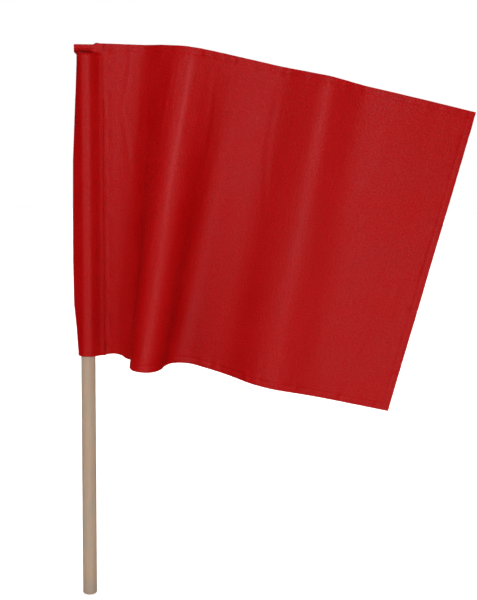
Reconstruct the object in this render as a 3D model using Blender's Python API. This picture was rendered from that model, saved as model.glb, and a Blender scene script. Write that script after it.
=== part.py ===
"""Hand signal flag: a coated cloth with a sewn pole sleeve on a round wooden dowel.

Metres, +Z up.  The pole stands on +Z with the centre of its lower end at the origin,
the cloth leaves it towards +X, and the front of the cloth faces -Y.
The cloth is three panels that fold against each other along two straight crest lines.
"""
import math

import bmesh
import bpy
import numpy as np
from mathutils import Matrix, Vector

# pole
POLE_LENGTH = 0.800
POLE_DIAMETER = 0.021
POLE_CHAMFER = 0.0022
POLE_SIDES = 32

# cloth, cut and sewn size
HOIST = 0.450                   # height of the cloth along the pole
RUN = 0.559                     # from the sleeve seam to the fly edge, along the cloth
CLOTH_THICKNESS = 0.0008
HEM_WIDTH = 0.011
THREAD_DIAMETER = 0.0006
HEM_STITCH_INSET = 0.0085       # stitch line to the cloth's edge

# sleeve
SLEEVE_CLEARANCE = 0.0016       # pole to the inside of the sleeve
MOUTH_HEM_CLEARANCE = 0.0005    # pole to the turned-in hem at the mouth
SLEEVE_SLACK = 0.0070           # the sleeve's fold stands this far off the pole's far side
SLEEVE_FOLD_RADIUS = 0.0042     # inside of that fold
SEAM_REACH = 0.0112             # outside of the sleeve, at the pole, to the seam
SEAM_SET_BACK = 0.004           # the seam lies behind the pole's axis
SEAM_ALLOWANCE = 0.010
CLOSURE_HEIGHT = 0.0135         # flat sewn strip that shuts the sleeve above the pole
CLOSURE_OVERHANG = 0.0045       # past the sleeve's wall at the pole
POLE_TOP_CLEARANCE = 0.0022

# clearances
TOUCH_GAP = 0.0003
FOLD_GAP = 0.0014               # between two panels at a crest line
HEM_FOLD_GAP = 0.0060           # between two hems or threads at a crest line

# how the cloth hangs: (distance from the seam, turn at the top edge, turn at the bottom
# edge, half width of the turn at the top, at the bottom); a positive turn swings the
# cloth forwards
START_TURN = (-2.9, 14.6)
CREASES = (
    (0.058, 33.4, 118.3, 0.0175, 0.05),
    (0.123, -46.8, -223.3, 0.027, 0.0585),
    (0.2255, 14.7, 108.8, 0.045, 0.0345),
    (0.314, 25.9, 23.1, 0.0235, 0.029),
    (0.384, -44.9, -77.3, 0.018, 0.0675),
    (0.428, 20.3, 31.8, 0.024, 0.035),
    (0.475, -6.6, 3.4, 0.0445, 0.0495),
)
INNER_CREST = CREASES[1][0]
OUTER_CREST = CREASES[4][0]
CREASE_LEAN = 0.0496            # the creases start nearer the pole at the top edge
# droop in degrees: at the seam, added further out, where, half width
TOP_DROOP = (1.07, 10.8, 0.131, 0.116)
BOTTOM_DROOP = (2.2, 8.8, 0.250, 0.0215)

COLUMN_STEP = 0.0080
PANEL_ROWS = 9
EDGE_STEPS = 900

# worked out from the sizes above
POLE_RADIUS = POLE_DIAMETER / 2
SLEEVE_INNER = POLE_RADIUS + SLEEVE_CLEARANCE
SLEEVE_OUTER = SLEEVE_INNER + CLOTH_THICKNESS
SEAM_X = SLEEVE_OUTER + SEAM_REACH
SLEEVE_TOP = POLE_LENGTH + POLE_TOP_CLEARANCE
CLOTH_TOP = SLEEVE_TOP + TOUCH_GAP + CLOSURE_HEIGHT
MOUTH = CLOTH_TOP - HOIST
THREAD_OFFSET = CLOTH_THICKNESS / 2 + TOUCH_GAP + THREAD_DIAMETER / 2
BACK_OFFSET = CLOTH_THICKNESS + TOUCH_GAP

RED = (0.42, 0.012, 0.018, 1.0)
DARK_RED = (0.33, 0.008, 0.012, 1.0)
WOOD = (0.52, 0.38, 0.25, 1.0)


def clear_scene():
    for old in list(bpy.data.objects):
        bpy.data.objects.remove(old, do_unlink=True)


def make_material(name, colour, roughness):
    material = bpy.data.materials.new(name)
    material.use_nodes = True
    shader = material.node_tree.nodes["Principled BSDF"]
    shader.inputs["Base Color"].default_value = colour
    shader.inputs["Roughness"].default_value = roughness
    shader.inputs["Metallic"].default_value = 0.0
    return material


def add_object(name, data, parent, colour, roughness):
    piece = bpy.data.objects.new(name, data)
    bpy.context.scene.collection.objects.link(piece)
    piece.data.materials.append(make_material(name + "_finish", colour, roughness))
    if parent:
        piece.parent = parent
        piece.matrix_parent_inverse = parent.matrix_world.inverted()
    return piece


def add_mesh(name, mesh, parent, colour, roughness):
    mesh.shade_smooth()
    mesh.set_sharp_from_angle(angle=math.radians(35))
    return add_object(name, mesh, parent, colour, roughness)


def add_axis(name, foot, head, parent=None):
    """An empty on a joint's axis, its own Z along the axis."""
    axis = bpy.data.objects.new(name, None)
    bpy.context.scene.collection.objects.link(axis)
    axis.empty_display_size = 0.03
    turn = (head - foot).to_track_quat("Z", "Y").to_matrix().to_4x4()
    place = Matrix.Translation((foot + head) / 2) @ turn
    if parent:
        axis.parent = parent
        axis.matrix_parent_inverse = parent.matrix_world.inverted()
    axis.matrix_basis = place
    bpy.context.view_layer.update()
    return axis


# ---- the hanging surface of the cloth

def soft_step(x):
    x = np.clip(x, -1.0, 1.0)
    return 0.5 + 0.25 * x * (3.0 - x * x)


def top_place(along):
    """Where the ruling that reaches the bottom edge at along starts on the top edge."""
    share = np.clip((along - INNER_CREST) / (RUN - INNER_CREST), 0.0, 1.0)
    return along - CREASE_LEAN * np.sin(math.pi * share) ** 2


def hang_edge(edge):
    """Points along the top edge (0) or the bottom edge (1), stepped along the cloth."""
    along = np.linspace(0.0, RUN, EDGE_STEPS)
    turn = np.full(EDGE_STEPS, START_TURN[edge])
    for crease in CREASES:
        centre = crease[0] if edge else float(top_place(crease[0]))
        turn += crease[1 + edge] * soft_step((along - centre) / crease[3 + edge])
    first, added, place, softness = (TOP_DROOP, BOTTOM_DROOP)[edge]
    droop = np.radians(first + added * soft_step((along - place) / softness))
    turn = np.radians(turn)
    flat = np.cos(droop)
    steps = np.stack([flat * np.cos(turn), -flat * np.sin(turn), -np.sin(droop)], 1)
    steps = 0.5 * (steps[1:] + steps[:-1]) * (along[1] - along[0])
    points = np.concatenate([np.zeros((1, 3)), np.cumsum(steps, 0)])
    return along, points + (SEAM_X, SEAM_SET_BACK, MOUTH if edge else CLOTH_TOP)


EDGES = (hang_edge(0), hang_edge(1))


def on_edge(edge, along):
    places, points = EDGES[edge]
    return np.array([np.interp(along, places, points[:, axis]) for axis in range(3)])


def mid_point(along, drop):
    """Point of the cloth's middle surface: along the cloth, drop 0 top to 1 bottom."""
    return on_edge(0, top_place(along)) * (1.0 - drop) + on_edge(1, along) * drop


def cloth_point(along, drop, offset=0.0):
    """The same, offset in metres towards the back of the cloth."""
    small = 0.0005
    before = max(along - small, 0.0)
    after = min(along + small, RUN)
    across = mid_point(after, drop) - mid_point(before, drop)
    down = mid_point(along, 1.0) - mid_point(along, 0.0)
    normal = np.cross(across, -down)
    normal /= np.linalg.norm(normal)
    return Vector(mid_point(along, drop) - offset * normal)


def columns_between(first, last):
    """Both ends and the shared columns between them, so plies bend at the same places."""
    half = HEM_FOLD_GAP / 2
    ply_ends = [CLOTH_THICKNESS, INNER_CREST - half, INNER_CREST + half,
                OUTER_CREST - half, OUTER_CREST + half, RUN - HEM_WIDTH, RUN - CLOTH_THICKNESS]
    near = COLUMN_STEP * 0.2
    regular = [COLUMN_STEP * i for i in range(1, math.ceil(RUN / COLUMN_STEP))]
    regular = [a for a in regular if min(abs(a - end) for end in ply_ends) > near]
    inside = [a for a in ply_ends + regular if first < a < last]
    return sorted(set([first, last] + inside))


def rows_between(first, last):
    """Both ends and the shared rows between them, with rows at the hems' inner edges."""
    hem = HEM_WIDTH / HOIST
    shared = [hem + (1.0 - 2.0 * hem) * i / PANEL_ROWS for i in range(PANEL_ROWS + 1)]
    near = hem * 0.3
    return [first] + [d for d in shared if first + near < d < last - near] + [last]


def sheet(name, along_range, drop_range, offset, parent, colour):
    """A thin closed strip of the cloth surface, its thickness centred on offset."""
    alongs = columns_between(*along_range)
    columns = len(alongs) - 1
    drops = rows_between(*drop_range)
    bm = bmesh.new()
    grid = [[bm.verts.new(cloth_point(a, d, offset)) for a in alongs] for d in drops]
    for upper, lower in zip(grid, grid[1:]):
        for i in range(columns):
            bm.faces.new((upper[i], lower[i], lower[i + 1], upper[i + 1]))
    mesh = bpy.data.meshes.new(name)
    bm.to_mesh(mesh)
    bm.free()
    piece = add_mesh(name, mesh, parent, colour, 0.55)
    wall = piece.modifiers.new("ply", "SOLIDIFY")
    wall.thickness = CLOTH_THICKNESS
    wall.offset = 0.0
    return piece


def thread(name, points, parent):
    """One line of stitching as a thin strand."""
    curve = bpy.data.curves.new(name, "CURVE")
    curve.dimensions = "3D"
    curve.bevel_depth = THREAD_DIAMETER / 2
    curve.bevel_resolution = 0
    curve.render_resolution_u = 0
    curve.use_fill_caps = True
    spline = curve.splines.new("POLY")
    spline.points.add(len(points) - 1)
    for target, point in zip(spline.points, points):
        target.co = (*point, 1.0)
    return add_object(name, curve, parent, DARK_RED, 0.6)


def thread_along(name, along_range, drop, parent):
    points = [cloth_point(a, drop, -THREAD_OFFSET) for a in columns_between(*along_range)]
    thread(name, points, parent)


def thread_down(name, along, drop_range, parent):
    thread(name, [cloth_point(along, d, -THREAD_OFFSET) for d in rows_between(*drop_range)],
           parent)


# ---- the pole and its sleeve

def dowel():
    bm = bmesh.new()
    bmesh.ops.create_cone(
        bm, cap_ends=True, segments=POLE_SIDES, radius1=POLE_RADIUS, radius2=POLE_RADIUS,
        depth=POLE_LENGTH, matrix=Matrix.Translation((0, 0, POLE_LENGTH / 2)))
    rims = [e for e in bm.edges if abs(e.verts[0].co.z - e.verts[1].co.z) < POLE_CHAMFER]
    bmesh.ops.bevel(bm, geom=rims, offset=POLE_CHAMFER, segments=2, affect="EDGES")
    mesh = bpy.data.meshes.new("dowel_pole")
    bm.to_mesh(mesh)
    bm.free()
    add_mesh("dowel_pole", mesh, None, WOOD, 0.6)


def loop_outline(inset, count=48):
    """The sleeve's cross-section: a loop drawn round the pole, its far fold and the seam.

    inset 0 is the inside of the sleeve's wall, and a positive inset is nearer the pole."""
    fold_x = SLEEVE_INNER + SLEEVE_SLACK - SLEEVE_FOLD_RADIUS
    tip_radius = CLOTH_THICKNESS / 2
    tip_x = SEAM_X - TOUCH_GAP - 3 * CLOTH_THICKNESS
    rounds = ((Vector((0, 0)), SLEEVE_INNER), (Vector((-fold_x, 0)), SLEEVE_FOLD_RADIUS),
              (Vector((tip_x, SEAM_SET_BACK)), tip_radius))
    outline = []
    for i in range(count):
        angle = 2 * math.pi * (i + 0.5) / count
        out = Vector((math.cos(angle), math.sin(angle)))
        centre, radius = max(rounds, key=lambda r: r[0].dot(out) + r[1])
        outline.append(centre + out * (radius - min(inset, radius / 2)))
    return outline


def ring_wall(name, outer, inner, low, high, parent):
    """A tube between two outlines with the same number of points."""
    bm = bmesh.new()
    rings = [[bm.verts.new((p.x, p.y, z)) for p in outline]
             for outline, z in ((outer, low), (outer, high), (inner, high), (inner, low))]
    count = len(outer)
    for ring, after in zip(rings, rings[1:] + rings[:1]):
        for i in range(count):
            j = (i + 1) % count
            bm.faces.new((ring[i], ring[j], after[j], after[i]))
    bmesh.ops.recalc_face_normals(bm, faces=bm.faces)
    mesh = bpy.data.meshes.new(name)
    bm.to_mesh(mesh)
    bm.free()
    return add_mesh(name, mesh, parent, RED, 0.55)


def sleeve(turn_axis):
    ring_wall("pole_sleeve", loop_outline(-CLOTH_THICKNESS), loop_outline(0.0),
              MOUTH, SLEEVE_TOP, turn_axis)

    circle = [Vector((math.cos(a), math.sin(a)))
              for a in (2 * math.pi * i / POLE_SIDES for i in range(POLE_SIDES))]
    ring_wall("sleeve_mouth_hem", [p * (SLEEVE_INNER - TOUCH_GAP) for p in circle],
              [p * (POLE_RADIUS + MOUTH_HEM_CLEARANCE) for p in circle],
              MOUTH, MOUTH + HEM_WIDTH, turn_axis)

    bm = bmesh.new()
    left = -(SLEEVE_OUTER + CLOSURE_OVERHANG)
    right = SEAM_X - TOUCH_GAP - CLOTH_THICKNESS
    width = right - left
    depth = 2 * CLOTH_THICKNESS
    centre = (left + width / 2, SEAM_SET_BACK, CLOTH_TOP - CLOSURE_HEIGHT / 2)
    size = Matrix.Diagonal((width, depth, CLOSURE_HEIGHT, 1.0))
    bmesh.ops.create_cube(bm, size=1.0, matrix=Matrix.Translation(centre) @ size)
    mesh = bpy.data.meshes.new("sleeve_top_closure")
    bm.to_mesh(mesh)
    bm.free()
    add_mesh("sleeve_top_closure", mesh, turn_axis, RED, 0.55)

    front = SEAM_SET_BACK - depth / 2 - TOUCH_GAP - THREAD_DIAMETER / 2
    height = CLOTH_TOP - HEM_STITCH_INSET
    ends = (left + CLOTH_THICKNESS, right - CLOTH_THICKNESS)
    thread("top_closure_thread", [Vector((x, front, height)) for x in ends], turn_axis)

    outside = CLOTH_THICKNESS + TOUCH_GAP + THREAD_DIAMETER
    around = [p for p in loop_outline(-outside) if p.x < SLEEVE_OUTER]
    thread("sleeve_mouth_thread",
           [Vector((p.x, p.y, MOUTH + HEM_STITCH_INSET)) for p in around], turn_axis)

    sheet("sleeve_seam_allowance", (CLOTH_THICKNESS, SEAM_ALLOWANCE),
          (band_drop(HEM_WIDTH), 1 - band_drop(HEM_WIDTH)), BACK_OFFSET,
          turn_axis, RED)
    thread_down("sleeve_seam_thread", SEAM_ALLOWANCE / 2,
                (band_drop(HEM_WIDTH), 1 - band_drop(HEM_WIDTH)), turn_axis)


# ---- the cloth panels

def band_drop(height):
    """A height in metres, with its gap, as a share of the hoist."""
    return (height + 2 * TOUCH_GAP) / HOIST


def panel(name, along_range, parent, fly=False):
    first, last = along_range
    left_fold = first > 0.0
    half = FOLD_GAP / 2
    start = first + half * left_fold
    end = last - half * (not fly)
    sheet(name + "_panel", (start, end), (0.0, 1.0), 0.0, parent, RED)

    start = first + (HEM_FOLD_GAP / 2 if left_fold else CLOTH_THICKNESS)
    end = last - (CLOTH_THICKNESS if fly else HEM_FOLD_GAP / 2)
    hem = HEM_WIDTH / HOIST
    sheet(name + "_top_hem", (start, end), (0.0, hem), BACK_OFFSET, parent, RED)
    sheet(name + "_bottom_hem", (start, end), (1.0 - hem, 1.0), BACK_OFFSET, parent, RED)
    inset = HEM_STITCH_INSET / HOIST
    thread_along(name + "_top_hem_thread", (start, end), inset, parent)
    thread_along(name + "_bottom_hem_thread", (start, end), 1.0 - inset, parent)


def fly_edge(parent):
    between = (band_drop(HEM_WIDTH), 1.0 - band_drop(HEM_WIDTH))
    sheet("fly_hem", (RUN - HEM_WIDTH, RUN), between, BACK_OFFSET, parent, RED)
    thread_down("fly_hem_thread", RUN - HEM_STITCH_INSET, between, parent)


def crest_axis(name, along, parent):
    return add_axis(name, Vector(mid_point(along, 1.0)), Vector(mid_point(along, 0.0)), parent)


clear_scene()
dowel()
turn_axis = add_axis("cloth_turn_axis", Vector((0, 0, MOUTH)), Vector((0, 0, CLOTH_TOP)))
inner_axis = crest_axis("inner_fold_axis", INNER_CREST, turn_axis)
outer_axis = crest_axis("outer_fold_axis", OUTER_CREST, inner_axis)
sleeve(turn_axis)
panel("inner", (0.0, INNER_CREST), turn_axis)
panel("middle", (INNER_CREST, OUTER_CREST), inner_axis)
panel("outer", (OUTER_CREST, RUN), outer_axis, fly=True)
fly_edge(outer_axis)
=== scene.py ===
import math

import bmesh
import bpy
import numpy as np
from mathutils import Matrix, Vector


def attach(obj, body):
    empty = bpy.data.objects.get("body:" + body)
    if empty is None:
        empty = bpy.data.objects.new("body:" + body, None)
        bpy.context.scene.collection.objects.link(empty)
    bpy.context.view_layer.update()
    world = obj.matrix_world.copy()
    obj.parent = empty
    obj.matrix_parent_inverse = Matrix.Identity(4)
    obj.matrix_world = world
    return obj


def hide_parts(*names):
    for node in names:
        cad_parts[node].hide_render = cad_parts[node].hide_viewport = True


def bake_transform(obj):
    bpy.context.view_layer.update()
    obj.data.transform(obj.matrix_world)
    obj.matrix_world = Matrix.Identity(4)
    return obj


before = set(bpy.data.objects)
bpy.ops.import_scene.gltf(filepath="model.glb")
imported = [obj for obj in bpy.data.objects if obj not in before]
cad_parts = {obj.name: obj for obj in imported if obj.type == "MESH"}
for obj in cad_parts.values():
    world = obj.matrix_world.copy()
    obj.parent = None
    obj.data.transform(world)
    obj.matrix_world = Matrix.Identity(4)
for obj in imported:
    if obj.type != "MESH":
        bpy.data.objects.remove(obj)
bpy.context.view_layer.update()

scene = bpy.context.scene

viewSettings = {
    "target": (0.2207, 0.0, 0.4510),
    "distance": 1.40,
    "lookDown": 7.0,
    "roll": 0.68,
    "lens": 57.3,
    "sensor": 36,
    "farEnd": 60,
}


def addCamera():
    down = math.radians(viewSettings["lookDown"])
    roll = math.radians(viewSettings["roll"])
    ahead = Vector((0, math.cos(down), -math.sin(down)))
    level = Vector((1, 0, 0))
    rise = Vector((0, math.sin(down), math.cos(down)))
    right = level * math.cos(roll) + rise * math.sin(roll)
    up = rise * math.cos(roll) - level * math.sin(roll)
    eye = Vector(viewSettings["target"]) - ahead * viewSettings["distance"]
    data = bpy.data.cameras.new("studioCamera")
    data.lens = viewSettings["lens"]
    data.sensor_fit = "AUTO"
    data.sensor_width = viewSettings["sensor"]
    data.clip_end = viewSettings["farEnd"]
    camera = bpy.data.objects.new("studioCamera", data)
    scene.collection.objects.link(camera)
    turn = Matrix((right, up, -ahead)).transposed().to_4x4()
    camera.matrix_world = Matrix.Translation(eye) @ turn
    scene.camera = camera
    print("camera in place")


studioLight = {
    "keyPlace": (0.22, -2.6, 0.95),
    "keyPower": 16.2,
    "keySize": 1.1,
    "backPlace": (0.5, 2.5, 1.3),
    "backPower": 19.0,
    "backSize": 1.4,
    # broad fills with no gloss of their own: where each comes from, and how strong
    "fills": (((0.0, -1.0, 0.25), 1.10), ((-1.0, -0.35, 0.2), 0.80),
              ((1.0, -0.35, 0.2), 0.95), ((0.0, 0.2, 1.0), 0.34),
              ((0.0, 1.0, 0.3), 1.90), ((0.1, -0.2, -1.0), 0.50)),
    "fillSpread": 130.0,
    "aim": (0.25, 0.0, 0.5),
    "floorSize": 40,
    "floorHeight": -0.0004,
    "floorShade": 0.86,
    "floorRough": 0.9,
    "floorLift": 0.55,
}


def nodeTree(owner):
    owner.use_nodes = True
    tree = owner.node_tree
    tree.nodes.clear()
    return tree


def addNode(tree, kind, **settings):
    # in_Base_Color=... sets the input named Base Color, any other name sets a property
    node = tree.nodes.new(kind)
    for key, value in settings.items():
        if key.startswith("in_"):
            node.inputs[key[3:].replace("_", " ")].default_value = value
        else:
            setattr(node, key, value)
    return node


def link(tree, start, end):
    tree.links.new(start, end)


def addWorld():
    # white behind the object, and no light of its own
    world = bpy.data.worlds.new("studio")
    scene.world = world
    tree = nodeTree(world)
    path = addNode(tree, "ShaderNodeLightPath")
    seen = addNode(tree, "ShaderNodeMix", data_type="FLOAT")
    seen.inputs[2].default_value = 0.0
    seen.inputs[3].default_value = 1.0
    link(tree, path.outputs["Is Camera Ray"], seen.inputs[0])
    back = addNode(tree, "ShaderNodeBackground", in_Color=(1, 1, 1, 1))
    link(tree, seen.outputs[0], back.inputs["Strength"])
    out = addNode(tree, "ShaderNodeOutputWorld")
    link(tree, back.outputs[0], out.inputs[0])


def addFloor():
    bpy.ops.object.select_all(action="DESELECT")
    bpy.ops.mesh.primitive_plane_add(size=studioLight["floorSize"],
                                     location=(0, 0, studioLight["floorHeight"]))
    floor = bpy.context.object
    floor.name = "studioFloor"
    floor.visible_glossy = False
    floor.visible_diffuse = False
    floor.visible_shadow = False
    paper = bpy.data.materials.new("studioPaper")
    tree = nodeTree(paper)
    path = addNode(tree, "ShaderNodeLightPath")
    lift = addNode(tree, "ShaderNodeMath", operation="MULTIPLY")
    lift.inputs[1].default_value = studioLight["floorLift"]
    link(tree, path.outputs["Is Camera Ray"], lift.inputs[0])
    shade = studioLight["floorShade"]
    body = addNode(tree, "ShaderNodeBsdfPrincipled", in_Base_Color=(shade, shade, shade, 1),
                   in_Roughness=studioLight["floorRough"], in_Specular_IOR_Level=0.0,
                   in_Emission_Color=(1, 1, 1, 1))
    link(tree, lift.outputs[0], body.inputs["Emission Strength"])
    out = addNode(tree, "ShaderNodeOutputMaterial")
    link(tree, body.outputs[0], out.inputs[0])
    floor.data.materials.append(paper)


def addLights():
    for name in ("key", "back"):
        data = bpy.data.lights.new(name + "Light", "AREA")
        data.size = studioLight[name + "Size"]
        data.energy = studioLight[name + "Power"]
        lamp = bpy.data.objects.new(data.name, data)
        scene.collection.objects.link(lamp)
        place = Vector(studioLight[name + "Place"])
        turn = (Vector(studioLight["aim"]) - place).to_track_quat("-Z", "Y")
        lamp.matrix_world = Matrix.Translation(place) @ turn.to_matrix().to_4x4()
    for number, (way, strength) in enumerate(studioLight["fills"], 1):
        data = bpy.data.lights.new("fill%d" % number, "SUN")
        data.energy = strength
        data.angle = math.radians(studioLight["fillSpread"])
        data.cycles.use_multiple_importance_sampling = False
        lamp = bpy.data.objects.new(data.name, data)
        scene.collection.objects.link(lamp)
        lamp.visible_glossy = False
        lamp.matrix_world = Vector(way).to_track_quat("Z", "Y").to_matrix().to_4x4()


def addStudio():
    addWorld()
    addFloor()
    addLights()
    scene.view_settings.view_transform = "Standard"
    print("studio lit")


clothSize = {
    "hoist": 0.450,
    "run": 0.559,           # from the sleeve's seam to the fly edge, laid flat
    "thick": 0.0006,
    "ply": 0.0008,          # from one layer of a hem to the next
    "hem": 0.011,
    "hemStitch": 0.0085,    # from the edge to the stitches of a hem
    "hemEase": (0.001, 0.010),      # where a layer over a hem comes down again
    "seamX": 0.0241,        # where the sleeve's seam stands, from the pole's middle
    "seamY": 0.004,
    "seamStitch": 0.005,    # from the seam to its stitches
    "top": 0.816,
    "allowance": 0.010,
    "split": 0.176,         # where the two cloth pieces meet, on a flat flank
    "smoothUnder": 50,
}

# The cloth hangs in a surface of straight lines from its top edge to its bottom edge,
# and each edge turns at the same seven creases. Turns are in degrees.
hang = {
    "startTurn": (-2.9, 14.6),      # at the top, at the bottom
    # place, turn at the top, turn at the bottom, half width at the top, at the bottom
    "creases": ((0.058, 33.4, 118.3, 0.0175, 0.05),
                (0.123, -46.8, -223.3, 0.027, 0.0585),
                (0.2255, 14.7, 108.8, 0.045, 0.0345),
                (0.314, 25.9, 23.1, 0.0235, 0.029),
                (0.384, -44.9, -77.3, 0.018, 0.0675),
                (0.428, 20.3, 31.8, 0.024, 0.035),
                (0.475, -6.6, 3.4, 0.0445, 0.0495)),
    "lean": 0.0496,     # how much nearer to the pole a line starts at the top, at most
    # an edge's slope down at the pole, what is added to it, where, and over what half width
    "droop": ((1.07, 10.8, 0.131, 0.116), (2.2, 8.8, 0.250, 0.0215)),
    "steps": 1800,
    "normalStep": 0.0008,
}
innerCrest = hang["creases"][1][0]


def softStep(x):
    x = np.clip(x, -1.0, 1.0)
    return 0.5 + 0.25 * x * (3.0 - x * x)


def rampUp(x, low, high):
    x = np.clip((x - low) / (high - low), 0.0, 1.0)
    return x * x * (3.0 - 2.0 * x)


def bell(gap, width):
    return np.exp(-(gap / width) ** 2)


def topPlace(along):
    # where the line that ends at this place of the bottom edge starts on the top edge
    share = np.clip((along - innerCrest) / (clothSize["run"] - innerCrest), 0.0, 1.0)
    return along - hang["lean"] * np.sin(math.pi * share) ** 2


def hangEdge(edge):
    along = np.linspace(0.0, clothSize["run"], hang["steps"])
    turn = np.full(hang["steps"], hang["startTurn"][edge])
    for crease in hang["creases"]:
        centre = crease[0] if edge else float(topPlace(crease[0]))
        turn += crease[1 + edge] * softStep((along - centre) / crease[3 + edge])
    first, added, place, softness = hang["droop"][edge]
    droop = np.radians(first + added * softStep((along - place) / softness))
    turn = np.radians(turn)
    flat = np.cos(droop)
    steps = np.stack([flat * np.cos(turn), -flat * np.sin(turn), -np.sin(droop)], 1)
    steps = 0.5 * (steps[1:] + steps[:-1]) * (along[1] - along[0])
    points = np.concatenate([np.zeros((1, 3)), np.cumsum(steps, 0)])
    height = clothSize["top"] - edge * clothSize["hoist"]
    return along, points + (clothSize["seamX"], clothSize["seamY"], height)


edges = (hangEdge(0), hangEdge(1))


def onEdge(edge, along):
    places, points = edges[edge]
    return np.stack([np.interp(along, places, points[:, k]) for k in range(3)], -1)


def unit(v):
    return v / np.linalg.norm(v, axis=-1, keepdims=True)


def plainPoint(along, drop):
    top = onEdge(0, topPlace(along))
    bottom = onEdge(1, along)
    share = np.asarray(drop)[..., None]
    return top * (1.0 - share) + bottom * share


def backNormal(along, drop):
    # the way out of the back of the cloth
    before = np.maximum(along - hang["normalStep"], 0.0)
    after = np.minimum(along + hang["normalStep"], clothSize["run"])
    across = plainPoint(after, drop) - plainPoint(before, drop)
    down = plainPoint(along, np.ones_like(along)) - plainPoint(along, np.zeros_like(along))
    return unit(np.cross(across, down))


def easeIn(x):
    return x * x * x * (x * (x * 6 - 15) + 10)


def smoothNoise(x, y, seed, cells=64):
    lattice = np.random.default_rng(seed).uniform(-1.0, 1.0, (cells, cells))
    cellX = np.floor(x).astype(int)
    cellY = np.floor(y).astype(int)
    fx = easeIn(x - cellX)
    fy = easeIn(y - cellY)
    x0, x1 = cellX % cells, (cellX + 1) % cells
    y0, y1 = cellY % cells, (cellY + 1) % cells
    near = lattice[x0, y0] * (1 - fx) + lattice[x1, y0] * fx
    far = lattice[x0, y1] * (1 - fx) + lattice[x1, y1] * fx
    return near * (1 - fy) + far * fy


# Small waves that all layers of the cloth share. Heights are towards the back.
ripples = {
    "broad": 0.0006,
    "broadSpan": (0.085, 0.22),         # along the cloth, down it
    "fineSpan": (0.038, 0.12),
    "streak": 0.00035,
    "streakSpan": (0.011, 0.075),
    "streakLean": 0.06,
    "topFade": (0.04, 0.26),            # streaks are stronger near the top and the pole
    "poleFade": (0.05, 0.16),
    "foldWobble": 0.003,
    "foldWobbleSpan": 0.05,
    "pucker": 0.00085,                  # at the stitches of the hems
    "puckerSpan": (0.0075, 0.03),       # along a hem, across it
    "puckerBand": 0.006,
    "puckerTail": 0.018,
    "stitchGroove": 0.00055,
    "stitchGrooveWidth": 0.0012,
    "stripCrease": 0.0006,              # where the strip's lower crease runs on
    "stripCreaseDown": 0.0135,
    "stripCreaseSlope": 0.05,
    "stripCreaseWidth": 0.0014,
    "stripCreaseEnd": (0.010, 0.024),
    "seamPuckerSpan": (0.009, 0.03),
    "seamPuckerWidth": 0.006,
    "seamDip": 0.0004,                  # beside the sleeve's seam
    "seamDipAt": 0.006,
    "seamDipWidth": 0.005,
    "seamGroove": 0.0001,
    "seamGrooveWidth": 0.0018,
    "startFade": (-0.001, 0.006),       # no waves where the cloth meets the sleeve
}

# creases pressed into the cloth: along and down at both ends, width, height to the front
pressedFolds = (
    (0.0398, 0.004, 0.0280, 0.105, 0.0032, 0.0006),
    (0.030, 0.080, 0.046, 0.190, 0.0050, 0.0004),
    (0.110, 0.012, 0.106, 0.150, 0.0040, 0.0005),
    (0.068, 0.060, 0.062, 0.240, 0.0060, 0.0004),
    (0.186, 0.020, 0.196, 0.170, 0.0080, 0.0004),
    (0.310, 0.010, 0.330, 0.230, 0.0060, 0.0004),
    (0.470, 0.030, 0.445, 0.210, 0.0090, 0.0004),
    (0.290, 0.044, 0.311, 0.084, 0.0024, 0.0004),
    (0.1400, 0.002, 0.1330, 0.160, 0.0050, -0.0007),
    (0.3840, 0.004, 0.3840, 0.190, 0.0060, -0.0005),
    (0.1260, 0.200, 0.1250, 0.400, 0.0070, -0.0004),
)


def pressedWaves(along, down):
    # each crease wanders a little, fades at both ends and is steeper on one side
    waves = 0.0
    for a0, d0, a1, d1, width, height in pressedFolds:
        share = np.clip((down - d0) / (d1 - d0), -0.3, 1.3)
        wobble = smoothNoise(down / ripples["foldWobbleSpan"], down * 0 + a0 * 90, 14)
        place = a0 + (a1 - a0) * share + ripples["foldWobble"] * wobble
        fade = rampUp(share, -0.1, 0.25) * (1.0 - rampUp(share, 0.6, 1.1))
        x = (along - place) / width
        waves = waves + height * fade * (1.35 * x - 0.8) * bell(x, 1.0)
    return waves


def hemWaves(along, down):
    waves = 0.0
    spanAlong, spanAcross = ripples["puckerSpan"]
    fromBottom, fromFly = clothSize["hoist"] - down, clothSize["run"] - along
    for gap, spread, seed in ((down, along, 21), (fromBottom, along, 22), (fromFly, down, 23)):
        fromStitch = gap - clothSize["hemStitch"]
        band = bell(fromStitch, ripples["puckerBand"])
        tail = np.exp(-np.maximum(gap, 0.0) / ripples["puckerTail"])
        pucker = smoothNoise(spread / spanAlong, gap / spanAcross + seed, seed)
        waves = waves + ripples["pucker"] * (0.6 * band + 0.5 * tail) * pucker
        waves = waves + ripples["stitchGroove"] * bell(fromStitch, ripples["stitchGrooveWidth"])
    return waves


def seamWaves(along, down):
    fromCrease = down - ripples["stripCreaseDown"] - ripples["stripCreaseSlope"] * along
    waves = ripples["stripCrease"] * bell(fromCrease, ripples["stripCreaseWidth"]) * (
        1.0 - rampUp(along, *ripples["stripCreaseEnd"]))
    fromStitch = along - clothSize["seamStitch"]
    spanDown, spanAlong = ripples["seamPuckerSpan"]
    waves += 0.8 * ripples["pucker"] * bell(fromStitch, ripples["seamPuckerWidth"]) * smoothNoise(
        down / spanDown, along / spanAlong, 24)
    waves += ripples["seamDip"] * bell(along - ripples["seamDipAt"], ripples["seamDipWidth"])
    waves += ripples["seamGroove"] * bell(fromStitch, ripples["seamGrooveWidth"])
    return waves


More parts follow.
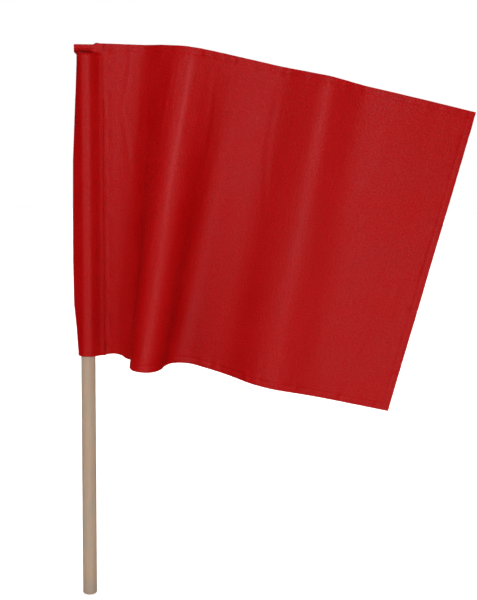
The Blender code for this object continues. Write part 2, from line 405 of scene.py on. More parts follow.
def rippleHeight(along, down):
    spanAlong, spanDown = ripples["broadSpan"]
    waves = ripples["broad"] * smoothNoise(along / spanAlong + 3.2, down / spanDown + 1.7, 11)
    spanAlong, spanDown = ripples["fineSpan"]
    waves += 0.5 * ripples["broad"] * smoothNoise(along / spanAlong + 9.1, down / spanDown, 12)
    nearTop = 1.0 - rampUp(down, *ripples["topFade"])
    nearPole = 1.0 - rampUp(along, *ripples["poleFade"])
    spanAlong, spanDown = ripples["streakSpan"]
    streaks = smoothNoise((along + ripples["streakLean"] * down) / spanAlong + 5.0,
                          down / spanDown, 13)
    waves += ripples["streak"] * (0.35 + 0.9 * nearTop * nearPole) * streaks
    waves += pressedWaves(along, down) + hemWaves(along, down) + seamWaves(along, down)
    return waves * rampUp(along, *ripples["startFade"])


# how the cloth strays from the plain hang towards its lower edge: place, half width,
# sideways, upwards
edgeWander = (
    (0.018, 0.016, 0.0, 0.0038),
    (0.040, 0.013, -0.0055, 0.0),
    (0.034, 0.006, 0.0, 0.0016),
    (0.135, 0.035, 0.0, -0.0026),
    (0.200, 0.017, 0.0, -0.0036),
    (0.262, 0.030, 0.0, 0.0010),
)


def wander(along, drop):
    move = np.zeros(np.shape(along) + (3,))
    for place, width, sideways, upwards in edgeWander:
        bump = bell(along - place, width) * drop ** 4
        move[..., 0] += sideways * bump
        move[..., 2] += upwards * bump
    return move


def clothPoint(along, down, layers=0.0):
    drop = down / clothSize["hoist"]
    normal = backNormal(along, drop)
    offset = rippleHeight(along, down) + layers * clothSize["ply"]
    return plainPoint(along, drop) + normal * offset[..., None] + wander(along, drop)


# The sleeve is a loose loop round the pole, sewn flat above it.
sleeveShape = {
    "roundRadius": 0.0122,
    "foldRadius": 0.0014,
    "foldY": 0.001,
    # height, and how far the sleeve's free fold reaches past the pole's middle there
    "foldReach": ((0.366, 0.0147), (0.374, 0.0149), (0.408, 0.0169), (0.443, 0.0203),
                  (0.512, 0.0212), (0.581, 0.0208), (0.650, 0.0201), (0.719, 0.0169),
                  (0.789, 0.0139), (0.800, 0.0138)),
    "flatReach": 0.0182,
    "flatHalf": 0.0016,
    "flatFrom": 0.7985,
    "flatTo": 0.8045,
    "points": 50,
    "finePoints": 220,          # for the rows of stitches
    "foldGap": 3,               # of those points, left without stitches beside the fold
    "outlineSteps": 1440,
    "frontFlat": 0.0009,        # the front is pressed a little flat
    "frontFlatWidth": 0.0045,
    "besideSeam": 0.0020,       # a shallow dent beside the seam
    "besideSeamAt": 0.0172,
    "besideSeamWidth": 0.0050,
    # the sewn strip above the pole: its groove, its lip and how far its top sits low
    "grooveAt": 0.8034,
    "grooveTall": 0.0025,
    "grooveDeep": 0.0058,
    "lipAt": 0.8070,
    "lipTall": 0.0022,
    "lipOut": 0.0034,
    "lipWave": 0.0021,
    "lipTwist": 200.0,
    "stripFade": (-0.002, 0.014),
    "low": 0.0015,
    "lowEnd": 0.0095,
    "lowSlope": 0.003,
    "knot": 0.0008,             # the small step where the strip meets the cloth
    "knotAt": 0.0145,
    "lowFade": (0.002, 0.016),
}


def aroundLoop(circles, count):
    # an even row of points along a band drawn tight round some circles: x, y, radius
    start = 0.001
    angles = np.linspace(start, 2 * math.pi - start, sleeveShape["outlineSteps"])
    ways = np.stack([np.cos(angles), np.sin(angles)], 1)
    centres = np.array([c[:2] for c in circles])
    radii = np.array([c[2] for c in circles])
    best = np.argmax(ways @ centres.T + radii, 1)
    points = centres[best] + ways * radii[best, None]
    gaps = np.concatenate([[0.0], np.cumsum(np.linalg.norm(np.diff(points, axis=0), axis=1))])
    places = np.linspace(0.0, gaps[-1], count)
    return np.stack([np.interp(places, gaps, points[:, k]) for k in range(2)], 1)


def sleeveLoop(height, seamBack, seamFront, count):
    shape = sleeveShape
    heights, reaches = zip(*shape["foldReach"])
    reach = float(np.interp(height, heights, reaches))
    fold = shape["foldRadius"]
    ends = [(*seamBack, 0.0), (*seamFront, 0.0)]
    loose = aroundLoop([(0, 0, shape["roundRadius"]), (fold - reach, shape["foldY"], fold)] + ends,
                       count)
    flatness = float(rampUp(np.array(height), shape["flatFrom"], shape["flatTo"]))
    half = shape["flatHalf"]
    middle = (seamBack[1] + seamFront[1]) / 2
    left = half - shape["flatReach"]
    flat = aroundLoop([(left, middle, half)] + ends, count)
    loop = loose * (1 - flatness) + flat * flatness
    front = np.arange(count) > np.argmin(loop[:, 0])
    pressed = shape["frontFlat"] * bell(loop[:, 0], shape["frontFlatWidth"])
    dent = shape["besideSeam"] * bell(loop[:, 0] - shape["besideSeamAt"], shape["besideSeamWidth"])
    loop[:, 1] += np.where(front, (1 - flatness) * (pressed + dent), 0.0)
    fade = 1.0 - rampUp(loop[:, 0], *shape["stripFade"])
    groove = shape["grooveDeep"] * bell(height - shape["grooveAt"], shape["grooveTall"])
    lip = shape["lipOut"] * bell(height - shape["lipAt"], shape["lipTall"])
    lip = lip * (1.0 + 0.5 * np.sin(loop[:, 0] / shape["lipWave"] + shape["lipTwist"] * height))
    loop[:, 1] += np.where(front, fade * (groove - lip), 0.0)
    return loop


def stripLow(x, down):
    # the strip's top edge sits a little lower than the cloth's, with a small step
    shape = sleeveShape
    side = 1.0 - rampUp(x, shape["lowEnd"], shape["lowEnd"] + shape["lowSlope"])
    knot = shape["knot"] * bell(x - shape["knotAt"], shape["lowSlope"])
    return (shape["low"] * side - knot) * (1.0 - rampUp(down, *shape["lowFade"]))


# distances between the points of the cloth
meshStep = {
    "hem": 0.0012,
    "edge": 0.0013,
    "edgeBand": 0.026,
    "down": 0.0024,
    "allowance": 0.0020,
    "near": 0.0023,
    "fly": 0.0024,
    "flyEdge": 0.0016,
    "flyBand": 0.012,
    "turnPoints": 6,
    "turnShare": 0.35,          # one step round a hem's turn, as a share of a ply
}


def spaced(first, last, step):
    return np.linspace(first, last, max(2, int(round(abs(last - first) / step)) + 1))


def turnAngles():
    return np.linspace(0.0, math.pi, meshStep["turnPoints"])[1:-1]


def rowsDown():
    # how far down each row lies, and its share of the way to the hem's own layer
    hem, hoist = clothSize["hem"], clothSize["hoist"]
    half = clothSize["ply"] / 2
    band = meshStep["edgeBand"]
    arcDown = half * (1 - np.sin(turnAngles()))
    arcShare = (1 + np.cos(turnAngles())) / 2
    down = [spaced(hem, half, meshStep["hem"]), arcDown, spaced(half, band, meshStep["edge"]),
            spaced(band, hoist - band, meshStep["down"])[1:-1],
            spaced(hoist - band, hoist - half, meshStep["edge"]), hoist - arcDown[::-1],
            spaced(hoist - half, hoist - hem, meshStep["hem"])]
    share = [np.ones(len(down[0])), arcShare, np.zeros(len(down[2])), np.zeros(len(down[3])),
             np.zeros(len(down[4])), arcShare[::-1], np.ones(len(down[6]))]
    return np.concatenate(down), np.concatenate(share)


def hemRamp(down):
    # 1 where a hem lies between the layers, 0 further in
    gap = np.minimum(down, clothSize["hoist"] - down)
    near, far = clothSize["hemEase"]
    return 1.0 - rampUp(gap, clothSize["hem"] + near, clothSize["hem"] + far)


def layersOver(down):
    # how many plies off the cloth an outer layer lies: three where it passes a hem
    return 1.0 + 2.0 * hemRamp(down)


def flatSteps(places, share):
    # distances along the flat cloth, round the turn of a hem too
    turn = clothSize["ply"] * meshStep["turnShare"]
    steps = np.where(np.diff(share) != 0, turn, np.abs(np.diff(places)))
    return np.concatenate([[0.0], np.cumsum(steps)])


def buildSheet(name, base, flatAlong, rowDown, rowShare):
    # base holds a point for each row and column, and the hems' rows are lifted off it
    across = np.gradient(base, axis=1)
    downward = np.gradient(base, axis=0)
    turned = np.sum(downward * np.array((0, 0, -1.0)), -1, keepdims=True) < 0
    downward = np.where(turned, -downward, downward)
    mainRows = np.where(rowShare == 0.0)[0]
    first, last = mainRows[0], mainRows[-1]
    downward[:first] = downward[first]
    downward[last + 1:] = downward[last]
    normal = unit(np.cross(across, downward))
    points = base + normal * (rowShare * clothSize["ply"])[:, None, None]

    rows, columns = base.shape[:2]
    index = np.arange(rows * columns).reshape(rows, columns)
    faces = np.stack([index[:-1, :-1], index[1:, :-1], index[1:, 1:], index[:-1, 1:]], -1)
    mesh = bpy.data.meshes.new(name)
    mesh.from_pydata(points.reshape(-1, 3).tolist(), [], faces.reshape(-1, 4).tolist())
    flatDown = flatSteps(rowDown, rowShare)
    layer = mesh.uv_layers.new(name="clothFlat")
    flatMap = np.stack(np.meshgrid(flatAlong, flatDown), -1).reshape(-1, 2)
    corners = np.empty(len(mesh.loops), dtype=np.int32)
    mesh.loops.foreach_get("vertex_index", corners)
    layer.data.foreach_set("uv", flatMap[corners].astype(np.float32).ravel())
    piece = bpy.data.objects.new(name, mesh)
    scene.collection.objects.link(piece)
    bpy.ops.object.select_all(action="DESELECT")
    bpy.context.view_layer.objects.active = piece
    piece.select_set(True)
    wall = piece.modifiers.new("wall", "SOLIDIFY")
    wall.thickness = clothSize["thick"]
    wall.offset = 0.0
    wall.use_even_offset = False
    bpy.ops.object.modifier_apply(modifier=wall.name)
    bpy.ops.object.shade_smooth_by_angle(angle=math.radians(clothSize["smoothUnder"]))
    print(name, len(piece.data.vertices), "points", round(float(flatDown[-1]), 4), "long")
    return piece


def makeNearCloth():
    # from the seam allowance, round the sleeve and over its seam, to the flat flank
    rowDown, rowShare = rowsDown()
    backAlong = spaced(clothSize["allowance"], 0.0, meshStep["allowance"])[:-1]
    frontAlong = spaced(0.0, clothSize["split"], meshStep["near"])[1:]
    count = sleeveShape["points"]
    loopFrom, loopTo = len(backAlong), len(backAlong) + count
    base = np.zeros((len(rowDown), loopTo + len(frontAlong), 3))
    layers = layersOver(rowDown)
    gridAlong, gridDown = np.meshgrid(backAlong, rowDown)
    gridLayers = np.broadcast_to(layers[:, None], gridAlong.shape)
    base[:, :loopFrom] = clothPoint(gridAlong, gridDown, gridLayers)
    gridAlong, gridDown = np.meshgrid(frontAlong, rowDown)
    base[:, loopTo:] = clothPoint(gridAlong, gridDown)
    zeros = np.zeros(len(rowDown))
    seamFront = clothPoint(zeros, rowDown)
    seamBack = clothPoint(zeros, rowDown, layers)
    girth = 0.0
    for row, down in enumerate(rowDown):
        height = clothSize["top"] - down
        loop = sleeveLoop(height, seamBack[row, :2], seamFront[row, :2], count)
        base[row, loopFrom:loopTo, :2] = loop
        base[row, loopFrom:loopTo, 2] = height - stripLow(loop[:, 0], down)
        girth = max(girth, float(np.sum(np.linalg.norm(np.diff(loop, axis=0), axis=1))))
    flatAlong = np.concatenate([-girth - backAlong, np.linspace(-girth, 0.0, count), frontAlong])
    print("sleeve girth", round(girth, 4))
    return buildSheet("clothNearPole", base, flatAlong, rowDown, rowShare)


def makeFlyCloth():
    # from the flat flank to the fly edge and round its hem
    rowDown, rowShare = rowsDown()
    run, half = clothSize["run"], clothSize["ply"] / 2
    band = run - meshStep["flyBand"]
    frontAlong = spaced(clothSize["split"], band, meshStep["fly"])
    edgeAlong = spaced(band, run - half, meshStep["flyEdge"])[1:]
    arcAlong = run - half * (1 - np.sin(turnAngles()))
    backAlong = spaced(run - half, run - clothSize["hem"], meshStep["flyEdge"])
    along = np.concatenate([frontAlong, edgeAlong, arcAlong, backAlong])
    share = np.concatenate([np.zeros(len(frontAlong) + len(edgeAlong)),
                            (1 - np.cos(turnAngles())) / 2, np.ones(len(backAlong))])
    gridAlong, gridDown = np.meshgrid(along, rowDown)
    base = clothPoint(gridAlong, gridDown, share[None, :] * layersOver(rowDown)[:, None])
    flatAlong = clothSize["split"] + flatSteps(along, share)
    return buildSheet("clothFlySide", base, flatAlong, rowDown, rowShare)


def newGroup(name, inputs, outputs):
    group = bpy.data.node_groups.new(name, "ShaderNodeTree")
    for side, sockets in (("INPUT", inputs), ("OUTPUT", outputs)):
        for socket, kind, value in sockets:
            made = group.interface.new_socket(socket, in_out=side, socket_type="NodeSocket" + kind)
            if value is not None:
                made.default_value = value
    return group, group.nodes.new("NodeGroupInput"), group.nodes.new("NodeGroupOutput")


def mathNode(tree, operation, first, second=None, third=None):
    node = tree.nodes.new("ShaderNodeMath")
    node.operation = operation
    for slot, value in enumerate((first, second, third)):
        if isinstance(value, (int, float)):
            node.inputs[slot].default_value = value
        elif value is not None:
            link(tree, value, node.inputs[slot])
    return node.outputs[0]


def noiseNode(tree, vector, scale, detail=2.0, roughness=0.5, stretch=None):
    if stretch:
        mapping = tree.nodes.new("ShaderNodeMapping")
        mapping.inputs["Scale"].default_value = stretch
        link(tree, vector, mapping.inputs["Vector"])
        vector = mapping.outputs[0]
    node = addNode(tree, "ShaderNodeTexNoise", in_Scale=scale, in_Detail=detail,
                   in_Roughness=roughness)
    link(tree, vector, node.inputs["Vector"])
    return node.outputs["Fac"]


def rangeNode(tree, value, fromLow, fromHigh, low, high):
    node = tree.nodes.new("ShaderNodeMapRange")
    for socket, number in zip(("From Min", "From Max", "To Min", "To Max"),
                              (fromLow, fromHigh, low, high)):
        node.inputs[socket].default_value = number
    link(tree, value, node.inputs["Value"])
    return node.outputs[0]


def mixColour(tree, factor, first, second):
    node = tree.nodes.new("ShaderNodeMix")
    node.data_type = "RGBA"
    for slot, value in ((0, factor), (6, first), (7, second)):
        if isinstance(value, (int, float)):
            node.inputs[slot].default_value = value
        elif isinstance(value, tuple):
            node.inputs[slot].default_value = (*value, 1.0)
        else:
            link(tree, value, node.inputs[slot])
    return node.outputs[2]


weaveShape = {
    "yarns": 1100.0,            # to the metre
    "wobble": 90.0,             # scales of the three noises
    "slub": 30.0,
    "crinkle": 400.0,
    "slubStretch": (18.0, 1.2),
    "shift": 2.2,               # how far the wobble moves the yarns
    "over": 0.35,               # shares of the height
    "ridge": 0.3,
}


def makeWeaveGroup():
    # plain weave: warp and weft pass over each other in turn, with uneven yarns
    tree, inside, outside = newGroup(
        "plainWeave",
        [("Flat", "Vector", None), ("Yarns", "Float", weaveShape["yarns"])],
        [("Height", "Float", None), ("Slub", "Float", None), ("Crinkle", "Float", None)])
    flat = inside.outputs["Flat"]
    wobble = noiseNode(tree, flat, weaveShape["wobble"], 2.0)
    split = tree.nodes.new("ShaderNodeSeparateXYZ")
    link(tree, flat, split.inputs[0])
    shift = mathNode(tree, "MULTIPLY", wobble, weaveShape["shift"])
    waves = []
    for axis in ("X", "Y"):
        turns = mathNode(tree, "MULTIPLY", split.outputs[axis], inside.outputs["Yarns"])
        turns = mathNode(tree, "MULTIPLY", turns, math.pi)
        waves.append(mathNode(tree, "SINE", mathNode(tree, "ADD", turns, shift)))
    over = mathNode(tree, "MULTIPLY", waves[0], waves[1])
    ridges = mathNode(tree, "ADD", mathNode(tree, "ABSOLUTE", waves[0]),
                      mathNode(tree, "ABSOLUTE", waves[1]))
    height = mathNode(tree, "ADD", mathNode(tree, "MULTIPLY", over, weaveShape["over"]),
                      mathNode(tree, "MULTIPLY", ridges, weaveShape["ridge"]))
    link(tree, height, outside.inputs["Height"])
    thin, long = weaveShape["slubStretch"]
    warp = noiseNode(tree, flat, weaveShape["slub"], 3.0, 0.6, stretch=(thin, long, 1.0))
    weft = noiseNode(tree, flat, weaveShape["slub"], 3.0, 0.6, stretch=(long, thin, 1.0))
    slub = mathNode(tree, "MULTIPLY", mathNode(tree, "ADD", warp, weft), 0.5)
    link(tree, slub, outside.inputs["Slub"])
    link(tree, noiseNode(tree, flat, weaveShape["crinkle"], 3.0, 0.65), outside.inputs["Crinkle"])
    return tree


# painted highlights along crests of the flat cloth, where they face the key light: place, drift
# with each metre down, half width, strength, and how far down it has faded out
paintedHighlightLines = (
    (0.1372, -0.030, 0.0052, 0.85, 0.300),
    (0.1215, -0.020, 0.0018, 0.30, 0.110),
    (0.3825, 0.000, 0.0050, 0.30, 0.200),
)

paintedHighlightLook = {
    "start": (0.012, 0.04),     # below the top hem
    "driftEnd": 0.2,
    "fadeFrom": 0.45,           # as a share of a line's end
    # specks break the painted highlight into small painted glints
    "specks": 520.0,
    "speckRange": (0.45, 1.7),
}


# a mask of painted highlight lines along the crests, broken into specks
def makePaintedHighlightGroup():
    tree, inside, outside = newGroup("paintedCrestHighlights", [("Flat", "Vector", None)],
                                     [("Mask", "Float", None)])
    split = tree.nodes.new("ShaderNodeSeparateXYZ")
    link(tree, inside.outputs["Flat"], split.inputs[0])
    along, down = split.outputs["X"], split.outputs["Y"]
    belowHem = rangeNode(tree, down, *paintedHighlightLook["start"], 0.0, 1.0)
    reach = mathNode(tree, "MINIMUM", down, paintedHighlightLook["driftEnd"])
    total = 0.0
    for place, drift, width, strength, end in paintedHighlightLines:
        centre = mathNode(tree, "MULTIPLY_ADD", reach, drift, place)
        gap = mathNode(tree, "ABSOLUTE", mathNode(tree, "SUBTRACT", along, centre))
        line = rangeNode(tree, gap, 0.0, width, strength, 0.0)
        line = mathNode(tree, "MULTIPLY", line, belowHem)
        fade = rangeNode(tree, down, end * paintedHighlightLook["fadeFrom"], end, 1.0, 0.0)
        total = mathNode(tree, "ADD", total, mathNode(tree, "MULTIPLY", line, fade))
    specks = noiseNode(tree, inside.outputs["Flat"], paintedHighlightLook["specks"], 2.0, 0.6)
    specks = rangeNode(tree, specks, 0.40, 0.66, *paintedHighlightLook["speckRange"])
    link(tree, mathNode(tree, "MULTIPLY", total, specks), outside.inputs["Mask"])
    return tree


clothLook = {
    "light": (0.480, 0.0026, 0.0034),
    "deep": (0.452, 0.0012, 0.0016),
    # paintedHighlightColour is a painted highlight colour for the crest lines
    "paintedHighlightColour": (0.530, 0.0240, 0.0260),
    "patches": 14.0,            # scale of the cloudy patches
    "rough": (0.53, 0.71),
    "worn": 0.06,               # roughness added by the patches, and by the crinkle
    "mottle": 0.25,
    "weaveHeight": 0.00006,
    "slubHeight": 0.00030,
    "crinkleHeight": 0.00080,
    "coat": 0.22,
    "coatRough": 0.36,
}


def bumpNode(tree, height, distance, normal=None):
    node = addNode(tree, "ShaderNodeBump", in_Strength=1.0, in_Distance=distance)
    link(tree, height, node.inputs["Height"])
    if normal is not None:
        link(tree, normal, node.inputs["Normal"])
    return node.outputs[0]


def finishOutput(tree, body):
    out = addNode(tree, "ShaderNodeOutputMaterial")
    link(tree, body.outputs[0], out.inputs[0])


def makeClothFinish(weaveGroup, highlightGroup):
    cloth = bpy.data.materials.new("coatedCloth")
    tree = nodeTree(cloth)
    flat = addNode(tree, "ShaderNodeUVMap", uv_map="clothFlat").outputs[0]
    weave = addNode(tree, "ShaderNodeGroup", node_tree=weaveGroup)
    link(tree, flat, weave.inputs["Flat"])
    patches = noiseNode(tree, flat, clothLook["patches"], 4.0, 0.55)
    mix = rangeNode(tree, patches, 0.3, 0.7, 0.0, 1.0)
    colour = mixColour(tree, mix, clothLook["deep"], clothLook["light"])
    # painted highlight: the base colour is lightened along the crests by this mask
    paintedHighlight = addNode(tree, "ShaderNodeGroup", node_tree=highlightGroup)
    link(tree, flat, paintedHighlight.inputs["Flat"])
    colour = mixColour(tree, paintedHighlight.outputs["Mask"], colour, clothLook["paintedHighlightColour"])
    dull = rangeNode(tree, weave.outputs["Slub"], 0.35, 0.65, *clothLook["rough"])
    worn = rangeNode(tree, patches, 0.35, 0.65, -clothLook["worn"], clothLook["worn"])
    grain = rangeNode(tree, weave.outputs["Crinkle"], 0.3, 0.7, -clothLook["mottle"],
                      clothLook["mottle"])
    rough = mathNode(tree, "ADD", mathNode(tree, "ADD", dull, worn), grain)
    normal = bumpNode(tree, weave.outputs["Crinkle"], clothLook["crinkleHeight"])
    normal = bumpNode(tree, weave.outputs["Slub"], clothLook["slubHeight"], normal)
    normal = bumpNode(tree, weave.outputs["Height"], clothLook["weaveHeight"], normal)
    body = addNode(tree, "ShaderNodeBsdfPrincipled", in_Coat_Weight=clothLook["coat"],
                   in_Coat_Roughness=clothLook["coatRough"])
    link(tree, colour, body.inputs["Base Color"])
    link(tree, rough, body.inputs["Roughness"])
    link(tree, normal, body.inputs["Normal"])
    link(tree, normal, body.inputs["Coat Normal"])
    finishOutput(tree, body)
    return cloth


threadLook = {
    "dark": (0.26, 0.003, 0.005),
    "light": (0.52, 0.020, 0.020),
    "rough": 0.6,
    "fibres": 900.0,
    "fibreHeight": 0.0001,
}


def makeThreadFinish():
    thread = bpy.data.materials.new("redThread")
    tree = nodeTree(thread)
    place = addNode(tree, "ShaderNodeTexCoord").outputs["Object"]
    fibres = noiseNode(tree, place, threadLook["fibres"], 2.0)
    colour = mixColour(tree, fibres, threadLook["dark"], threadLook["light"])
    body = addNode(tree, "ShaderNodeBsdfPrincipled", in_Roughness=threadLook["rough"])
    link(tree, colour, body.inputs["Base Color"])
    link(tree, bumpNode(tree, fibres, threadLook["fibreHeight"]), body.inputs["Normal"])
    finishOutput(tree, body)
    return thread


woodLook = {
    "pale": (0.590, 0.430, 0.312),
    "mid": (0.490, 0.352, 0.248),
    "dark": (0.335, 0.240, 0.172),
    "pore": (0.23, 0.165, 0.125),
    "rosy": (0.600, 0.395, 0.270),
    "grey": (0.450, 0.385, 0.310),
    "patchy": 0.45,
    "smudge": (0.24, 0.18, 0.135),
    "smudgeSize": 22.0,
    "smudgeTop": 0.05,
    "bend": 4.0,                # the grain runs a little out of true
    "bendReach": (0.010, 0.006, 0.0),
    # how finely each pattern repeats across the pole and along it
    "bands": (230.0, 230.0, 3.2),
    "fine": (1100.0, 1100.0, 22.0),
    "pores": (1500.0, 1500.0, 90.0),
    "patches": (120.0, 120.0, 42.0),
    "rough": (0.52, 0.72),
    "grainHeight": 0.00018,
}


def makeWoodFinish():
    wood = bpy.data.materials.new("dowelWood")
    tree = nodeTree(wood)
    place = addNode(tree, "ShaderNodeTexCoord").outputs["Object"]
    bend = noiseNode(tree, place, woodLook["bend"], 2.0)
    lean = addNode(tree, "ShaderNodeVectorMath", operation="MULTIPLY_ADD")
    spread = addNode(tree, "ShaderNodeCombineXYZ")
    link(tree, bend, spread.inputs[0])
    link(tree, bend, spread.inputs[1])
    link(tree, spread.outputs[0], lean.inputs[0])
    lean.inputs[1].default_value = woodLook["bendReach"]
    link(tree, place, lean.inputs[2])
    grainPlace = lean.outputs[0]
    bands = noiseNode(tree, grainPlace, 1.0, 4.0, 0.6, stretch=woodLook["bands"])
    fine = noiseNode(tree, grainPlace, 1.0, 4.0, 0.7, stretch=woodLook["fine"])
    pores = noiseNode(tree, grainPlace, 1.0, 2.0, 0.5, stretch=woodLook["pores"])
    colour = mixColour(tree, rangeNode(tree, bands, 0.35, 0.66, 0.0, 1.0), woodLook["pale"],
                       woodLook["mid"])
    colour = mixColour(tree, rangeNode(tree, fine, 0.45, 0.75, 0.0, 0.55), colour,
                       woodLook["dark"])
    colour = mixColour(tree, rangeNode(tree, pores, 0.66, 0.76, 0.0, 0.5), colour,
                       woodLook["pore"])
    # rosy and greyish patches, a few centimetres long
    patches = noiseNode(tree, grainPlace, 1.0, 3.0, 0.6, stretch=woodLook["patches"])
    rosy = mixColour(tree, rangeNode(tree, patches, 0.38, 0.62, 0.0, 1.0), woodLook["rosy"],
                     woodLook["grey"])
    colour = mixColour(tree, woodLook["patchy"], colour, rosy)
    # handled and dusty towards the butt
    split = addNode(tree, "ShaderNodeSeparateXYZ")
    link(tree, place, split.inputs[0])
    smudge = noiseNode(tree, place, woodLook["smudgeSize"], 3.0)
    low = rangeNode(tree, split.outputs[2], 0.0, woodLook["smudgeTop"], 0.5, 0.0)
    colour = mixColour(tree, mathNode(tree, "MULTIPLY", smudge, low), colour,
                       woodLook["smudge"])
    body = addNode(tree, "ShaderNodeBsdfPrincipled")
    link(tree, colour, body.inputs["Base Color"])
    link(tree, rangeNode(tree, fine, 0.3, 0.7, *woodLook["rough"]), body.inputs["Roughness"])
    height = mathNode(tree, "ADD", mathNode(tree, "MULTIPLY", fine, -0.7), bands)
    link(tree, bumpNode(tree, height, woodLook["grainHeight"]), body.inputs["Normal"])
    finishOutput(tree, body)
    return wood


stitchSize = {
    "pitch": 0.0031,
    "length": 0.0025,
    "width": 0.0006,
    "height": 0.8,          # as a share of the width
    "sink": 0.0001,
    "slant": 0.10,          # at random, to either side
    "rowStep": 0.0008,      # between the points of a row across the cloth
    "rowStepDown": 0.0012,
    "rowEnd": 0.001,
    "rowEndDown": 0.0125,
}


def modelStitch():
    # one stitch, low and rounded, whose copies make every row
    bpy.ops.object.select_all(action="DESELECT")
    bpy.ops.mesh.primitive_uv_sphere_add(segments=6, ring_count=4, radius=0.5,
                                         rotation=(0, math.pi / 2, 0))
    stitch = bpy.context.object
    width = stitchSize["width"]
    stitch.scale = (width * stitchSize["height"], width, stitchSize["length"])
    bpy.ops.object.transform_apply(location=True, rotation=True, scale=True)
    points = np.array([v.co for v in stitch.data.vertices])
    # sorted, because a new sphere's faces come in no fixed order
    faces = sorted(tuple(f.vertices) for f in stitch.data.polygons)
    bpy.data.objects.remove(stitch, do_unlink=True)
    return points, faces


def readAlong(values, gaps, places):
    return np.stack([np.interp(places, gaps, values[:, k]) for k in range(3)], 1)


def sewRows(name, rows):
    # each row: points along the cloth's skin, and the ways out of it
    template, templateFaces = modelStitch()
    points, faces = [], []
    rng = np.random.default_rng(41)
    for line, outward in rows:
        gaps = np.concatenate([[0.0], np.cumsum(np.linalg.norm(np.diff(line, axis=0), axis=1))])
        count = max(1, int(gaps[-1] / stitchSize["pitch"]))
        places = (np.arange(count) + 0.5) * gaps[-1] / count
        half = stitchSize["length"] / 2
        middle = readAlong(line, gaps, places)
        way = unit(readAlong(line, gaps, places + half) - readAlong(line, gaps, places - half))
        out = unit(readAlong(outward, gaps, places))
        side = unit(np.cross(out, way))
        out = np.cross(way, side)
        tilt = rng.uniform(-stitchSize["slant"], stitchSize["slant"], count)[:, None]
        way, side = way + side * tilt, side - way * tilt
        for i in range(count):
            start = len(points) * len(template)
            frameOf = np.stack([way[i], side[i], out[i]])
            points.append(template @ frameOf + middle[i] - out[i] * stitchSize["sink"])
            faces.extend(tuple(v + start for v in face) for face in templateFaces)
    mesh = bpy.data.meshes.new(name)
    mesh.from_pydata(np.concatenate(points).tolist(), [], faces)
    mesh.shade_smooth()
    piece = bpy.data.objects.new(name, mesh)
    scene.collection.objects.link(piece)
    print(name, len(points), "stitches")
    return piece


def skinRow(along, down, front=True):
    # a row on the front or the back skin of the cloth, with its way out
    normal = backNormal(along, down / clothSize["hoist"])
    half = clothSize["thick"] / 2
    if front:
        return clothPoint(along, down) - normal * half, -normal
    doubled = (along < clothSize["allowance"]) | (along > clothSize["run"] - clothSize["hem"])
    edgeHem = np.minimum(down, clothSize["hoist"] - down) < clothSize["hem"]
    layers = np.where(doubled, layersOver(down), np.where(edgeHem, 1.0, 0.0))
    return clothPoint(along, down, layers) + normal * half, normal


def hemRowsBetween(first, last):
    rows = []
    along = spaced(first, last, stitchSize["rowStep"])
    for down in (clothSize["hemStitch"], clothSize["hoist"] - clothSize["hemStitch"]):
        for front in (True, False):
            rows.append(skinRow(along, np.full(len(along), down), front))
    return rows


def downRows(place):
    end = stitchSize["rowEndDown"]
    down = spaced(end, clothSize["hoist"] - end, stitchSize["rowStepDown"])
    return [skinRow(np.full(len(down), place), down, front) for front in (True, False)]


def loopRows(down):
    # stitches round the back and the front of the sleeve, short of its free fold
    height = clothSize["top"] - down
    zero = np.zeros(1)
    front = clothPoint(zero, zero + down)[0]
    back = clothPoint(zero, zero + down, layersOver(zero + down))[0]
    loop = sleeveLoop(height, back[:2], front[:2], sleeveShape["finePoints"])
    way = unit(np.gradient(loop, axis=0))
    out = np.stack([way[:, 1], -way[:, 0]], 1)
    skin = loop + out * clothSize["thick"] / 2
    order = np.arange(len(loop))
    fold = int(np.argmin(loop[:, 0]))
    rows = []
    gap = sleeveShape["foldGap"]
    for part in (order < fold - gap, order > fold + gap):
        line = np.column_stack([skin[part], height - stripLow(skin[part, 0], down)])
        rows.append((line, np.column_stack([out[part], np.zeros(part.sum())])))
    return rows


poleSize = {
    "length": 0.800,
    "radius": 0.0105,
    "endRound": 0.0022,
    "sides": 64,
    "roundSteps": 5,
    "smoothUnder": 35,
}


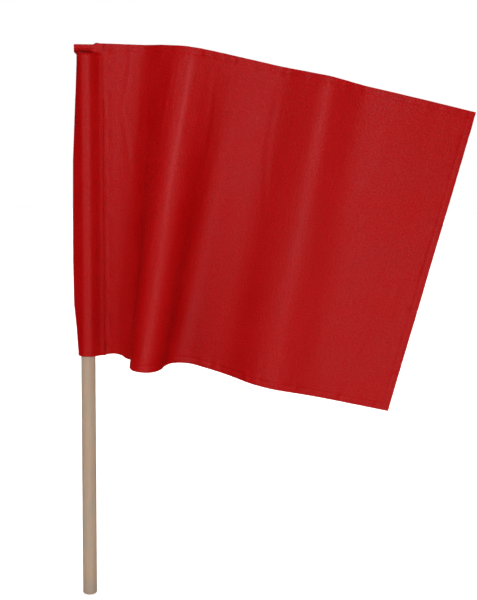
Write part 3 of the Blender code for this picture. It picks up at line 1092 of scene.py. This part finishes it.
def makePole():
    bpy.ops.object.select_all(action="DESELECT")
    length, radius = poleSize["length"], poleSize["radius"]
    bpy.ops.mesh.primitive_cylinder_add(vertices=poleSize["sides"], radius=radius, depth=length,
                                        location=(0, 0, length / 2))
    pole = bpy.context.object
    pole.name = "poleWood"
    bpy.ops.object.transform_apply(location=True, rotation=True, scale=True)
    bpy.ops.object.mode_set(mode="EDIT")
    bpy.ops.mesh.select_mode(type="EDGE")
    bpy.ops.mesh.select_all(action="DESELECT")
    mesh = bmesh.from_edit_mesh(pole.data)
    for edge in mesh.edges:
        edge.select_set(abs(edge.verts[0].co.z - edge.verts[1].co.z) < 1e-5)
    bmesh.update_edit_mesh(pole.data)
    bpy.ops.mesh.bevel(offset=poleSize["endRound"], segments=poleSize["roundSteps"], profile=0.5)
    bpy.ops.object.mode_set(mode="OBJECT")
    bpy.ops.object.shade_smooth_by_angle(angle=math.radians(poleSize["smoothUnder"]))
    print("pole turned")
    return pole


addCamera()
addStudio()
clothFinish = makeClothFinish(makeWeaveGroup(), makePaintedHighlightGroup())
threadFinish = makeThreadFinish()
woodFinish = makeWoodFinish()
print("finishes mixed")

pole = makePole()
pole.data.materials.append(woodFinish)
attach(pole, "pole")
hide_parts("dowel_pole")

nearCloth = makeNearCloth()
flyCloth = makeFlyCloth()
sleeveStitches = sewRows(
    "sleeveStitches",
    downRows(clothSize["seamStitch"])
    + loopRows(clothSize["hemStitch"])
    + loopRows(clothSize["hoist"] - clothSize["hemStitch"]))
nearStitches = sewRows("nearHemStitches",
                       hemRowsBetween(stitchSize["rowEnd"], clothSize["split"]))
flyStitches = sewRows(
    "flyHemStitches",
    hemRowsBetween(clothSize["split"], clothSize["run"] - stitchSize["rowEnd"])
    + downRows(clothSize["run"] - clothSize["hemStitch"]))

for piece, finish, slot in ((nearCloth, clothFinish, "coated_cloth"),
                            (flyCloth, clothFinish, "coated_cloth"),
                            (sleeveStitches, threadFinish, "sewing_thread"),
                            (nearStitches, threadFinish, "sewing_thread"),
                            (flyStitches, threadFinish, "sewing_thread")):
    piece.data.materials.append(finish)
print("cloth sewn")
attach(sleeveStitches, "inner_cloth")
for piece in (nearCloth, nearStitches):
    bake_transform(piece)
for piece in (flyCloth, flyStitches):
    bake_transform(piece)
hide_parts("pole_sleeve", "sleeve_mouth_hem", "sleeve_top_closure",
            "sleeve_seam_allowance", "inner_panel", "inner_top_hem", "inner_bottom_hem")
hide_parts("middle_panel", "middle_top_hem", "middle_bottom_hem", "outer_panel",
            "outer_top_hem", "outer_bottom_hem", "fly_hem")
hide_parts("sleeve_seam_thread", "top_closure_thread", "sleeve_mouth_thread")
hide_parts("inner_top_hem_thread", "inner_bottom_hem_thread")
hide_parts("fly_hem_thread", "middle_top_hem_thread", "middle_bottom_hem_thread",
            "outer_top_hem_thread", "outer_bottom_hem_thread")
